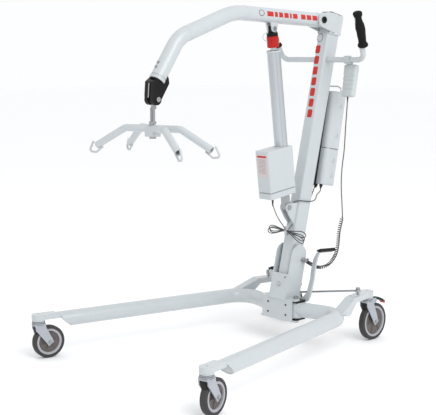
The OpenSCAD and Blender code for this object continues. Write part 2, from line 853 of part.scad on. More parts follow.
module spreader() {
    paint(white) translate([0, hub_y, arm_z]) difference() {
        union() {
            for (a = [tip_turn, -tip_turn]) rotate([90, 0, a])
                bent_rod([[-tip_r, -(tip_r - shoulder) * tan(drop)], [-shoulder, 0], [shoulder, 0],
                    [tip_r, -(tip_r - shoulder) * tan(drop)]], [0, 32, 32, 0], arm_d / 2);
            translate([0, 0, -hub_low]) block(48, 38, hub_low + 6, 5);
        }
        translate([0, 0, -60]) cylinder(r = 7 + fit, h = 120);
        for (a = [tip_turn, -tip_turn, 180 + tip_turn, 180 - tip_turn]) rotate([0, 0, a])
            translate([tip_r, 0, -(tip_r - shoulder) * tan(drop)]) rotate([0, 90 + drop, 0])
                translate([0, 0, -45]) cylinder(r = arm_d / 2 - 2.5, h = 60);
    }
}

module spreader_hooks() {
    paint(steel) translate([0, hub_y, arm_z])
        for (a = [tip_turn, -tip_turn, 180 + tip_turn, 180 - tip_turn]) rotate([0, 0, a])
            translate([tip_r, 0, -(tip_r - shoulder) * tan(drop)]) rotate([90, 0, 0])
                difference() {
                    bent_rod([hook_start, [4, -26], [34, -23], [15, 14]], [0, 9, 9, 0], 4);
                    rotate([0, 0, -drop]) rotate([0, 90, 0]) translate([0, 0, -80])
                        cylinder(r = arm_d / 2, h = 80);
                }
}

// Handset
module on_handset() {
    translate([handset_x, bar_y, bar_z]) rotate([-9, 0, 0]) children();
}

module handset() {
    paint(white) on_handset() {
        difference() {
            translate([0, handset_back - handset_t / 2, -144])
                soft_box(handset_w, handset_t, 128, 10, 6);
            for (z = [-50, -76]) translate([0, handset_back - 3.8, z]) rotate([-90, 0, 0])
                block(20.8, 16.8, 10, 5.4);
        }
        translate([0, 14.5, -16]) cube([30, 5, 28], center = true);
        rotate([0, 90, 0]) translate([0, 0, -15]) rotate([0, 0, 90])
            rotate_extrude(angle = 195) translate([handle_d / 2 + gap, 0]) square([4.6, 30]);
    }
}

module up_button() {
    paint(grey) on_handset() translate([0, handset_back - 1.6, -50]) rotate([-90, 0, 0]) block(20, 16, 4, 5);
}

module down_button() {
    paint(grey) on_handset() translate([0, handset_back - 1.6, -76]) rotate([-90, 0, 0]) block(20, 16, 4, 5);
}

// Cords
lead_top = [[132, 259, 982], [129, 260, 940], [122, 262, 860], [117, 262, 770],
    [108, 262, 700], [105, 262, 630], [110, 262, 560], [113, 264, 500]];
lead_low = [[20, 148, 318], [10, 141, 335], [4, 150, 400], [2, 168, 480], [0, 192, 560],
    [0, 216, 606], [0, 222, 628]];
coil_path = [[113, 264, 500], [101, 266, 463], [92, 268, 428], [86, 270, 380],
    [76, 270, 339], [55, 265, 303], [38, 250, 284], [24, 222, 281], [17, 182, 300],
    [20, 148, 318]];
motor_path = [[26, -58, 589], [26, -57, 570], [22, -42, 545], [14, -20, 520], [8, 2, 498],
    [8, 24, 474], [8, 36.5, 456]];
tail_path = [[8, 54.5, 455], [9, 64, 464], [12, 75, 475]];

function blend_at(p, i, t) = let (
    last = len(p) - 1,
    a = p[max(i - 1, 0)],
    b = p[i],
    c = p[min(i + 1, last)],
    d = p[min(i + 2, last)])
    0.5 * (2 * b + (c - a) * t + (2 * a - 5 * b + 4 * c - d) * t * t
        + (3 * b - a - 3 * c + d) * t * t * t);

function smooth(p, n) = [for (i = [0:len(p) - 2]) for (k = [0:n - 1]) blend_at(p, i, k / n),
    p[len(p) - 1]];

module tube(path, r, sides) {
    last = len(path) - 1;
    rings = [for (i = [0:last]) let (
        d = unit(path[min(i + 1, last)] - path[max(i - 1, 0)]),
        u = unit(cross(d, [1, 0, 0])),
        v = cross(d, u))
        for (k = [0:sides - 1]) path[i] + r * (cos(360 * k / sides) * u + sin(360 * k / sides) * v)];
    walls = [for (i = [0:last - 1]) for (k = [0:sides - 1]) let (m = (k + 1) % sides)
        [i * sides + k, (i + 1) * sides + k, (i + 1) * sides + m, i * sides + m]];
    ends = [[for (k = [0:sides - 1]) k], [for (k = [sides - 1:-1:0]) last * sides + k]];
    polyhedron(rings, concat(walls, ends));
}

module handset_lead() {
    paint(dark_grey) {
        tube(smooth(lead_top, 4), 3, 8);
        tube(smooth(lead_low, 3), 3, 8);
    }
}

module handset_coil() {
    paint(dark_grey) tube(smooth(coil_path, 2), 7.5, 12);
}

module motor_lead() {
    paint(dark_grey) {
        tube(smooth(motor_path, 2), 3, 8);
        tube(smooth(tail_path, 2), 3, 8);
    }
}

module hank_outline(grow) {
    for (a = [-13, 182]) rotate([0, 0, a]) {
        translate([0, -15 - grow]) square([92, 30 + 2 * grow]);
        translate([92, 0]) circle(r = 15 + grow);
    }
}

module motor_hank() {
    paint(dark_grey) translate([8, 53, 452]) rotate([90, 0, 0]) linear_extrude(16)
        hank_outline(0);
}

module hank_tie() {
    paint(white) translate([8, 53.6, 452]) rotate([90, 0, 0]) difference() {
        translate([-5, -18.6, 0]) cube([10, 37.2, 17.2]);
        translate([0, 0, 0.5]) linear_extrude(16.2) hank_outline(0.1);
    }
}

base_bracket();
bracket_screws();
steel_bolts();
glide_plates();
mast_tube();
mast_cap();
mast_head();
hinge_bolt();
push_handle();
grips();
actuator_foot();
battery_rail();
control_box();
battery_pack();
battery_handle();
stop_button();
handset();
up_button();
down_button();
motor_base();
motor_eye();
motor_housing();
column();
column_collar();
inner_rod();
release_collar();
rod_end();
boom_tube();
boom_bolts();
clevis();
eye_bar();
spreader();
spreader_hooks();
leg_left();
leg_right();
leg_arms_left();
leg_arms_right();
tie_rod_left();
tie_rod_right();
rocker();
pedal_pads();
front_fork_left();
front_fork_right();
rear_fork_left();
rear_fork_right();
front_tyre_left();
front_tyre_right();
rear_tyre_left();
rear_tyre_right();
front_hub_left();
front_hub_right();
rear_hub_left();
rear_hub_right();
brake_left();
brake_right();
handset_lead();
handset_coil();
motor_lead();
motor_hank();
hank_tie();
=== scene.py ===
import json
import math
import bmesh
import bpy
from mathutils import Matrix, Vector, noise


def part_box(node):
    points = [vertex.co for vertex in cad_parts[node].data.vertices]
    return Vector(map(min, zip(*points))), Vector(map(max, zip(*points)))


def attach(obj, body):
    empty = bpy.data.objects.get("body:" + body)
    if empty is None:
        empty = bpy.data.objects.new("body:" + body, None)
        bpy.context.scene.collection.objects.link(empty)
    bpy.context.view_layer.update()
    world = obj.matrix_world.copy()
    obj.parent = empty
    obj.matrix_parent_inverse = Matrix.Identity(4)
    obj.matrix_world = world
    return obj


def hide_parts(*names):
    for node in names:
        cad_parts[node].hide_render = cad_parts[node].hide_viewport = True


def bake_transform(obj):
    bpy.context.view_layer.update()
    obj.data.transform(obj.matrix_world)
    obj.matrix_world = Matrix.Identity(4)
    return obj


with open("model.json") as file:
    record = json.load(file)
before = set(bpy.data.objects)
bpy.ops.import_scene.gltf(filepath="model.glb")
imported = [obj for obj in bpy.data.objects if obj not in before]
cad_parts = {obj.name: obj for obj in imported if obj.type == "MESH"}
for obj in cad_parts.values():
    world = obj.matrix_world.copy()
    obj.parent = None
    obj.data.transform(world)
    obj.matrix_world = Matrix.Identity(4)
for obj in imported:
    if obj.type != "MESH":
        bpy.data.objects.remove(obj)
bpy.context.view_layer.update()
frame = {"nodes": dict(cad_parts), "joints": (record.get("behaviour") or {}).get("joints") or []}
nodes = frame["nodes"]
joints = {j["name"]: j for j in frame["joints"]}
scene = bpy.context.scene
scene.view_settings.view_transform = "Standard"
print("frame loaded:", len(nodes), "parts")


# Camera
camera = dict(place=(2.8104, -2.8006, 1.1333), turn=46.2, down=8.08, roll=0.11, lens=86.88)

camData = bpy.data.cameras.new("studioCamera")
camObject = bpy.data.objects.new("studioCamera", camData)
scene.collection.objects.link(camObject)
camObject.location = camera["place"]
camObject.rotation_euler = (
    Matrix.Rotation(math.radians(camera["turn"]), 4, "Z")
    @ Matrix.Rotation(math.radians(90 - camera["down"]), 4, "X")
    @ Matrix.Rotation(math.radians(camera["roll"]), 4, "Z")
).to_euler()
camData.lens = camera["lens"]
camData.sensor_width = 36
camData.clip_end = 60
scene.camera = camObject


# Finishes. Each has a colour with slow mottling, a rough value with its own spread,
# and one or two bump grains given as (size in metres, height in metres).
finishes = dict(
    powderCoat=dict(colour=(0.480, 0.513, 0.532), vary=0.018, rough=0.30, spread=0.05,
                    coat=0.35, coatRough=0.08, grains=[(0.0022, 0.00006), (0.0005, 0.00001)],
                    edge=0.0011, slot="powder_coat"),
    zinc=dict(colour=(0.36, 0.37, 0.385), vary=0.07, rough=0.30, spread=0.12, metal=1.0,
              grains=[(0.003, 0.00004), (0.0006, 0.00002)], edge=0.0005, slot="steel"),
    chrome=dict(colour=(0.50, 0.51, 0.53), vary=0.02, rough=0.10, spread=0.05, metal=1.0,
                grains=[(0.004, 0.00001)], edge=0.0004, slot="steel"),
    darkSteel=dict(colour=(0.075, 0.078, 0.085), vary=0.12, rough=0.42, spread=0.10, metal=0.7,
                   grains=[(0.0015, 0.00004)], edge=0.0004, slot="dark_steel"),
    alloy=dict(colour=(0.50, 0.53, 0.555), vary=0.03, rough=0.34, spread=0.06, metal=0.85,
               stretch=(1, 1, 0.02), grains=[(0.0008, 0.00003)], edge=0.0005, slot="alloy"),
    casting=dict(colour=(0.40, 0.42, 0.46), vary=0.03, rough=0.40, spread=0.08, metal=0.35,
                 grains=[(0.0020, 0.00008), (0.0006, 0.00003)], edge=0.0012, slot="grey_plastic"),
    palePlastic=dict(colour=(0.490, 0.522, 0.540), vary=0.012, rough=0.44, spread=0.05,
                     grains=[(0.0009, 0.00005), (0.0004, 0.00003)], edge=0.0010,
                     slot="pale_plastic"),
    handsetPlastic=dict(colour=(0.47, 0.505, 0.51), vary=0.015, rough=0.48, spread=0.06,
                        grains=[(0.0008, 0.00005)], edge=0.0008, slot="pale_plastic"),
    greyPlastic=dict(colour=(0.30, 0.32, 0.34), vary=0.03, rough=0.50, spread=0.06,
                     grains=[(0.0008, 0.00005)], edge=0.0006, slot="grey_plastic"),
    blackPlastic=dict(colour=(0.010, 0.010, 0.011), vary=0.20, rough=0.42, spread=0.10, spec=0.2,
                      grains=[(0.0010, 0.00006)], edge=0.0006, slot="black_plastic"),
    blackMetal=dict(colour=(0.009, 0.008, 0.008), vary=0.25, rough=0.34, spread=0.10,
                    spec=0.15, coat=0.02, coatRough=0.2, grains=[(0.0014, 0.00007)], edge=0.0010,
                    slot="black_metal"),
    tyreRubber=dict(colour=(0.048, 0.046, 0.046), vary=0.10, rough=0.62, spread=0.10, spec=0.25,
                    grains=[(0.0016, 0.00010), (0.0005, 0.00005)], edge=0.0006, slot="tyre"),
    wheelRing=dict(colour=(0.36, 0.36, 0.39), vary=0.03, rough=0.46, spread=0.06,
                   grains=[(0.0010, 0.00005)], slot="wheel_plastic"),
    wheelDisc=dict(colour=(0.105, 0.090, 0.085), vary=0.07, rough=0.50, spread=0.08,
                   grains=[(0.0012, 0.00008)], slot="wheel_plastic"),
    gripRubber=dict(colour=(0.011, 0.010, 0.010), vary=0.20, rough=0.52, spread=0.10,
                    spec=0.08, grains=[(0.0012, 0.00016), (0.0005, 0.00006)],
                    slot="grip_rubber"),
    cableSheath=dict(colour=(0.075, 0.075, 0.078), vary=0.08, rough=0.48, spread=0.08, spec=0.3,
                     grains=[(0.0008, 0.00004)], slot="cable"),
    paleSheath=dict(colour=(0.46, 0.48, 0.49), vary=0.05, rough=0.45, spread=0.08,
                    grains=[(0.0008, 0.00003)], slot="cable"),
    redPlastic=dict(colour=(0.440, 0.014, 0.010), vary=0.10, rough=0.42, spread=0.08, spec=0.25,
                    grains=[(0.0010, 0.00006)], edge=0.0006, slot="red_plastic"),
    redPrint=dict(colour=(0.48, 0.020, 0.014), vary=0.06, rough=0.34, spread=0.06, spec=0.3,
                  coat=0.05, coatRough=0.1, grains=[(0.0012, 0.00002)], slot="red_plastic"),
    greyPrint=dict(colour=(0.13, 0.10, 0.10), vary=0.08, rough=0.40, spread=0.06,
                   grains=[(0.0012, 0.00002)], slot="grey_plastic"),
    orangeTip=dict(colour=(0.60, 0.085, 0.030), vary=0.08, rough=0.50, spread=0.08,
                   grains=[(0.0010, 0.00006)], slot="red_plastic"),
    labelFilm=dict(colour=(0.56, 0.50, 0.50), vary=0.02, rough=0.36, spread=0.05,
                   grains=[(0.0015, 0.00002)], slot="pale_plastic"),
)
texture = dict(mottleScale=22, mottleDetail=5, mottleFrom=0.3, mottleTo=0.7,
               wornScale=60, wornDetail=3, edgeSamples=4, grainDetail=2)
made = {}


def finish(name):
    if name in made:
        return made[name]
    look = finishes[name]
    mat = bpy.data.materials.new(name)
    mat.use_nodes = True
    tree = mat.node_tree
    add, join = tree.nodes.new, tree.links.new
    shader = tree.nodes["Principled BSDF"]
    shader.inputs["Metallic"].default_value = look.get("metal", 0.0)
    shader.inputs["Coat Weight"].default_value = look.get("coat", 0.0)
    shader.inputs["Coat Roughness"].default_value = look.get("coatRough", 0.1)
    shader.inputs["Specular IOR Level"].default_value = look.get("spec", 0.5)
    place = add("ShaderNodeTexCoord").outputs["Object"]
    if "stretch" in look:
        mapping = add("ShaderNodeMapping")
        mapping.inputs["Scale"].default_value = look["stretch"]
        join(place, mapping.inputs["Vector"])
        place = mapping.outputs["Vector"]
    mottle = add("ShaderNodeTexNoise")
    mottle.inputs["Scale"].default_value = texture["mottleScale"]
    mottle.inputs["Detail"].default_value = texture["mottleDetail"]
    join(place, mottle.inputs["Vector"])
    ramp = add("ShaderNodeValToRGB")
    dark, light = ramp.color_ramp.elements
    dark.position = texture["mottleFrom"]
    light.position = texture["mottleTo"]
    dark.color = [c * (1 - look["vary"]) for c in look["colour"]] + [1]
    light.color = [c * (1 + look["vary"]) for c in look["colour"]] + [1]
    join(mottle.outputs["Fac"], ramp.inputs["Fac"])
    join(ramp.outputs["Color"], shader.inputs["Base Color"])
    worn = add("ShaderNodeTexNoise")
    worn.inputs["Scale"].default_value = texture["wornScale"]
    worn.inputs["Detail"].default_value = texture["wornDetail"]
    join(place, worn.inputs["Vector"])
    span = add("ShaderNodeMapRange")
    span.inputs["To Min"].default_value = look["rough"] - look["spread"]
    span.inputs["To Max"].default_value = look["rough"] + look["spread"]
    join(worn.outputs["Fac"], span.inputs["Value"])
    join(span.outputs["Result"], shader.inputs["Roughness"])
    normal = None
    if "edge" in look:
        softEdge = add("ShaderNodeBevel")
        softEdge.samples = texture["edgeSamples"]
        softEdge.inputs["Radius"].default_value = look["edge"]
        normal = softEdge.outputs["Normal"]
    for size, height in look["grains"]:
        grain = add("ShaderNodeTexNoise")
        grain.inputs["Scale"].default_value = 1 / size
        grain.inputs["Detail"].default_value = texture["grainDetail"]
        join(place, grain.inputs["Vector"])
        bump = add("ShaderNodeBump")
        bump.inputs["Distance"].default_value = height
        join(grain.outputs["Fac"], bump.inputs["Height"])
        if normal:
            join(normal, bump.inputs["Normal"])
        normal = bump.outputs["Normal"]
    join(normal, shader.inputs["Normal"])
    made[name] = mat
    return mat


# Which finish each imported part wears
partFinish = dict(
    powderCoat="base_bracket mast_tube mast_head push_handle actuator_foot boom_tube spreader "
               "leg_left leg_right leg_arms_left leg_arms_right rocker spreader_hooks",
    zinc="steel_bolts boom_bolts eye_bar tie_rod_left tie_rod_right motor_eye",
    chrome="inner_rod",
    darkSteel="bracket_screws",
    alloy="column",
    casting="front_fork_left front_fork_right rear_fork_left rear_fork_right",
    palePlastic="motor_base motor_housing control_box battery_pack battery_handle column_collar",
    handsetPlastic="handset",
    greyPlastic="up_button down_button",
    blackPlastic="glide_plates battery_rail mast_cap pedal_pads brake_left brake_right",
    blackMetal="clevis rod_end hinge_bolt",
    tyreRubber="front_tyre_left front_tyre_right rear_tyre_left rear_tyre_right",
    wheelRing="front_hub_left front_hub_right rear_hub_left rear_hub_right",
    gripRubber="grips",
    cableSheath="handset_lead handset_coil motor_lead motor_hank",
    paleSheath="hank_tie",
    redPlastic="release_collar stop_button",
)
for look, names in partFinish.items():
    for name in names.split():
        mesh = nodes[name].data
        mesh.materials.clear()
        mesh.materials.append(finish(look))
print("finishes on", sum(len(n.split()) for n in partFinish.values()), "parts")


# Frames of the tilted parts, in metres. Local z runs along the part, local y to its back.
def tilted(at, tilt):
    return Matrix.Translation(at) @ Matrix.Rotation(math.radians(tilt), 4, "X")


def turned(degrees, axis):
    return Matrix.Rotation(math.radians(degrees), 4, axis)


stand = dict(
    mastFoot=(0, 0.269, 0.190), mastLean=13.3, pinFromHinge=(0, -0.2635, -0.039),
    handlebar=(0, 0.478, 1.128), handlebarTurn=114.2, handset=(0.133, 0.478, 1.128),
    handsetLean=9, packTop=(0, 0.043, 0.850), packLean=2.3, packDrop=0.385,
)
hinge = Vector(joints["boom_lift"]["pos_m"])
foot = Vector(joints["actuator_tilt"]["pos_m"])
topPin = hinge + Vector(stand["pinFromHinge"])
actuatorLean = math.degrees(math.atan2(foot.y - topPin.y, topPin.z - foot.z))
mast = tilted(stand["mastFoot"], -stand["mastLean"])
actuator = tilted(foot, actuatorLean)
boom = Matrix.Translation(hinge)
handset = tilted(stand["handset"], -stand["handsetLean"])
pack = mast @ Matrix.Translation(stand["packTop"]) @ turned(stand["packLean"], "X") \
    @ Matrix.Translation((0, 0, -stand["packDrop"]))
grip = tilted(stand["handlebar"], stand["handlebarTurn"])


sharpAngle = math.radians(35)


def addPiece(name, verts, faces, look, body, at=None, bevel=0.0):
    mesh = bpy.data.meshes.new(name)
    moved = [at @ Vector(v) if at else Vector(v) for v in verts]
    mesh.from_pydata(moved, [], faces)
    mesh.validate()
    work = bmesh.new()
    work.from_mesh(mesh)
    bmesh.ops.remove_doubles(work, verts=work.verts, dist=1e-6)
    if bevel:
        edges = [e for e in work.edges
                 if e.is_manifold and e.calc_face_angle() > sharpAngle]
        bmesh.ops.bevel(work, geom=edges, offset=bevel, segments=2, profile=0.6,
                        affect="EDGES", clamp_overlap=True)
    bmesh.ops.recalc_face_normals(work, faces=work.faces)
    for f in work.faces:
        f.smooth = True
    for e in work.edges:
        e.smooth = not (e.is_manifold and e.calc_face_angle() > sharpAngle)
    work.to_mesh(mesh)
    work.free()
    piece = bpy.data.objects.new(name, mesh)
    scene.collection.objects.link(piece)
    mesh.materials.append(finish(look))
    if body:
        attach(piece, body)
    return piece


def joinShapes(*shapes):
    verts, faces = [], []
    for v, f in shapes:
        start = len(verts)
        verts += v
        faces += [[i + start for i in face] for face in f]
    return verts, faces


def placed(shape, at):
    return [at @ Vector(v) for v in shape[0]], shape[1]


def lathe(profile, steps):
    # (radius, height) pairs turned round z; a radius of 0 closes an end
    verts, faces, rings = [], [], []
    for r, z in profile:
        if r < 1e-7:
            rings.append([len(verts)])
            verts.append((0, 0, z))
        else:
            rings.append(list(range(len(verts), len(verts) + steps)))
            verts += [(r * math.cos(2 * math.pi * k / steps),
                       r * math.sin(2 * math.pi * k / steps), z) for k in range(steps)]
    for a, b in zip(rings, rings[1:]):
        for k in range(steps):
            n = (k + 1) % steps
            if len(a) == 1:
                faces.append([a[0], b[k], b[n]])
            elif len(b) == 1:
                faces.append([a[k], b[0], a[n]])
            else:
                faces.append([a[k], b[k], b[n], a[n]])
    return verts, faces


def outline(points, low, high):
    # Flat outline in x, y drawn up from low to high
    n = len(points)
    verts = [(x, y, low) for x, y in points] + [(x, y, high) for x, y in points]
    faces = [list(range(n))[::-1], list(range(n, 2 * n))]
    faces += [[i, (i + 1) % n, n + (i + 1) % n, n + i] for i in range(n)]
    return verts, faces


def roundedRect(w, d, r, steps):
    pts = []
    for cx, cy, start in ((w / 2 - r, d / 2 - r, 0), (r - w / 2, d / 2 - r, 90),
                          (r - w / 2, r - d / 2, 180), (w / 2 - r, r - d / 2, 270)):
        for k in range(steps + 1):
            a = math.radians(start + 90 * k / steps)
            pts.append((cx + r * math.cos(a), cy + r * math.sin(a)))
    return pts


def hexagon(radius):
    return [(radius * math.cos(math.radians(60 * k)), radius * math.sin(math.radians(60 * k)))
            for k in range(6)]


def loft(rings, closed=True):
    n = len(rings[0])
    verts = [p for ring in rings for p in ring]
    faces = [[i * n + k, i * n + (k + 1) % n, (i + 1) * n + (k + 1) % n, (i + 1) * n + k]
             for i in range(len(rings) - 1) for k in range(n)]
    if closed:
        faces += [list(range(n))[::-1], [(len(rings) - 1) * n + k for k in range(n)]]
    return verts, faces


def smoothPath(points, steps):
    # Catmull-Rom through the points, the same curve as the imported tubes
    pts, last = [Vector(p) for p in points], len(points) - 1
    out = []
    for i in range(last):
        a, b = pts[max(i - 1, 0)], pts[i]
        c, d = pts[i + 1], pts[min(i + 2, last)]
        for k in range(steps):
            t = k / steps
            out.append(0.5 * (2 * b + (c - a) * t + (2 * a - 5 * b + 4 * c - d) * t * t
                              + (3 * b - a - 3 * c + d) * t ** 3))
    return out + [pts[-1]]


def evenly(points, step):
    out, left = [points[0]], step
    for a, b in zip(points, points[1:]):
        span = (b - a).length
        while span >= left and span > 0:
            a = a + (b - a) * (left / span)
            out.append(a)
            span, left = (b - a).length, step
        left -= span
    if (out[-1] - points[-1]).length > step * 0.3:
        out.append(points[-1])
    else:
        out[-1] = points[-1]
    return out


def lengthOf(points):
    return sum((b - a).length for a, b in zip(points, points[1:]))


def carried(points):
    # One direction square to the line at each point, turned as little as possible
    side = Vector((1, 0.2, 0.1))
    out = []
    for i, p in enumerate(points):
        d = (points[min(i + 1, len(points) - 1)] - points[max(i - 1, 0)]).normalized()
        side = (side - d * side.dot(d)).normalized()
        out.append((side.copy(), d.cross(side)))
    return out


def tubeShape(points, radius, sides):
    radii = radius if isinstance(radius, list) else [radius] * len(points)
    rings = [[p + r * (math.cos(2 * math.pi * k / sides) * u
                       + math.sin(2 * math.pi * k / sides) * v) for k in range(sides)]
             for p, r, (u, v) in zip(points, radii, carried(points))]
    return loft(rings)


def reliefSleeve(at, r):
    # Rubber sleeve where a cord leaves its housing: a taper with grooves, below a collar if any
    spots = [at + Vector((0, r["slant"] * k, r["rise"] - r["step"] * k)) for k in range(r["rings"])]
    radii = [r["collar"] if k < r["collarRings"]
             else r["radius"] - r["taper"] * k - (r["groove"] if k % 3 == 2 else 0)
             for k in range(r["rings"])]
    return tubeShape(spots, radii, 20)


def cordCurve(name, points, diameter, look, body):
    curve = bpy.data.curves.new(name, "CURVE")
    curve.dimensions = "3D"
    line = curve.splines.new("POLY")
    line.points.add(len(points) - 1)
    for spot, p in zip(line.points, points):
        spot.co = (*p, 1)
    curve.bevel_depth = diameter / 2
    curve.bevel_resolution = 2
    curve.use_fill_caps = True
    curve.materials.append(finish(look))
    piece = bpy.data.objects.new(name, curve)
    scene.collection.objects.link(piece)
    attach(piece, body)
    return piece


# Cords
rowShift = 222


def packed(points):
    # Route points in millimetres with y from the mast's front plate, as the part gives them
    return [Vector((x, y + rowShift, z)) / 1000 for x, y, z in points]


handsetLead = dict(
    diameter=0.0044, curlRadius=0.0058, openPitch=0.0100, closePitch=0.0076, turnPoints=14,
    easeSteps=28, smooth=12, curledSmooth=30, spacing=0.008,
    top=[(132, 259, 982), (129, 260, 940), (122, 262, 860), (117, 262, 770), (108, 262, 700),
         (105, 262, 630), (110, 262, 560), (113, 264, 500)],
    curled=[(113, 264, 500), (101, 266, 463), (92, 268, 428), (86, 270, 380), (76, 270, 339),
            (55, 265, 303), (38, 250, 284), (24, 222, 281), (17, 182, 300), (20, 148, 318)],
    low=[(20, 148, 318), (10, 141, 335), (4, 150, 400), (2, 168, 480), (0, 192, 560),
         (0, 216, 606), (0, 222, 628)],
)


def curl(points, lead):
    # A coil round the route, open where its weight pulls it and closer further down
    step = lead["closePitch"] / lead["turnPoints"]
    line = evenly(points, step)
    total = len(line) - 1
    out, angle = [], 0.0
    for i, (p, (u, v)) in enumerate(zip(line, carried(line))):
        ramp = min(1, i / lead["easeSteps"], (total - i) / lead["easeSteps"])
        ramp = ramp * ramp * (3 - 2 * ramp)
        closing = min(1, 2 * i / total)
        pitch = lead["openPitch"] + (lead["closePitch"] - lead["openPitch"]) * closing
        out.append(p + lead["curlRadius"] * ramp * (math.cos(angle) * u + math.sin(angle) * v))
        angle += 2 * math.pi * step / pitch
    return out


lead = handsetLead
upper = evenly(smoothPath(packed(lead["top"]), lead["smooth"]), lead["spacing"])
middle = curl(smoothPath(packed(lead["curled"]), lead["curledSmooth"]), lead)
lower = evenly(smoothPath(packed(lead["low"]), lead["smooth"]), lead["spacing"])
leadLine = upper + middle[1:] + lower[1:]
leadPiece = cordCurve("handsetLead", leadLine, lead["diameter"], "cableSheath", "base")
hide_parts("handset_lead", "handset_coil")

motorLead = dict(
    diameter=0.0038, rounds=3, lobe=0.088, lobeWidth=0.0120, uneven=0.10, layerGap=0.52,
    lobeSteps=36, smooth=6, woundSmooth=3, spacing=0.0035,
    centre=(0.008, 0.267, 0.452), turns=(-13, 182), leans=(-7, 4, -1, -3, 8, 2),
    down=[(26, -58, 589), (26, -57, 570), (22, -42, 545), (14, -20, 520), (8, 2, 498),
          (8, 24, 474), (8, 36.5, 456)],
    tail=[(8, 54.5, 455), (9, 64, 464), (12, 75, 475)],
)
m = motorLead


def hankLine(m):
    # Figure-eight winding round the two lobes, each layer half a diameter behind the last
    out = []
    centre = Vector(m["centre"])
    layers = 2 * m["rounds"]
    reach, wide = m["lobe"], m["lobeWidth"]
    for i in range(layers):
        turn = math.radians(m["turns"][i % 2])
        # each layer leans a little and is a little shorter or longer, as hand-wound loops do
        turn += math.radians(m["leans"][i % len(m["leans"])])
        long = reach * (1 + m["uneven"] * noise.noise(Vector((i * 1.7, 5.2, 0))))
        c, s = math.cos(turn), math.sin(turn)
        for k in range(m["lobeSteps"]):
            t = k / m["lobeSteps"]
            # down one side of the lobe, round its end and back
            along = math.sin(math.pi * t)
            x = long * along ** 0.8 + wide * 0.9 * along ** 3
            y = wide * 1.12 * math.sin(2 * math.pi * t) * (0.35 + 0.65 * along)
            depth = (i + t - layers / 2) * m["diameter"] * m["layerGap"]
            out.append(centre + Vector((x * c - y * s, depth, x * s + y * c)))
    return out


wound = smoothPath(packed(m["down"]), m["smooth"])[:-1] + hankLine(m) \
    + smoothPath(packed(m["tail"]), m["smooth"])
motorLine = evenly(smoothPath(wound, m["woundSmooth"]), m["spacing"])
motorPiece = cordCurve("motorLead", motorLine, m["diameter"], "cableSheath", "actuator")
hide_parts("motor_lead", "motor_hank")
print("cords: handset lead %.2f m, motor lead %.2f m" % (lengthOf(leadLine), lengthOf(motorLine)))


# Wheels
wheelSizes = dict(
    front=dict(diameter=0.125, width=0.026, under=0.152),
    rear=dict(diameter=0.150, width=0.026, under=0.183),
    tread=0.0120, ribs=6, ribTurn=12, nutRadius=0.0064, forkGap=0.0058, steps=64,
    headSteps=56, lineDrops=(0.0010, 0.0062, 0.0118),
)


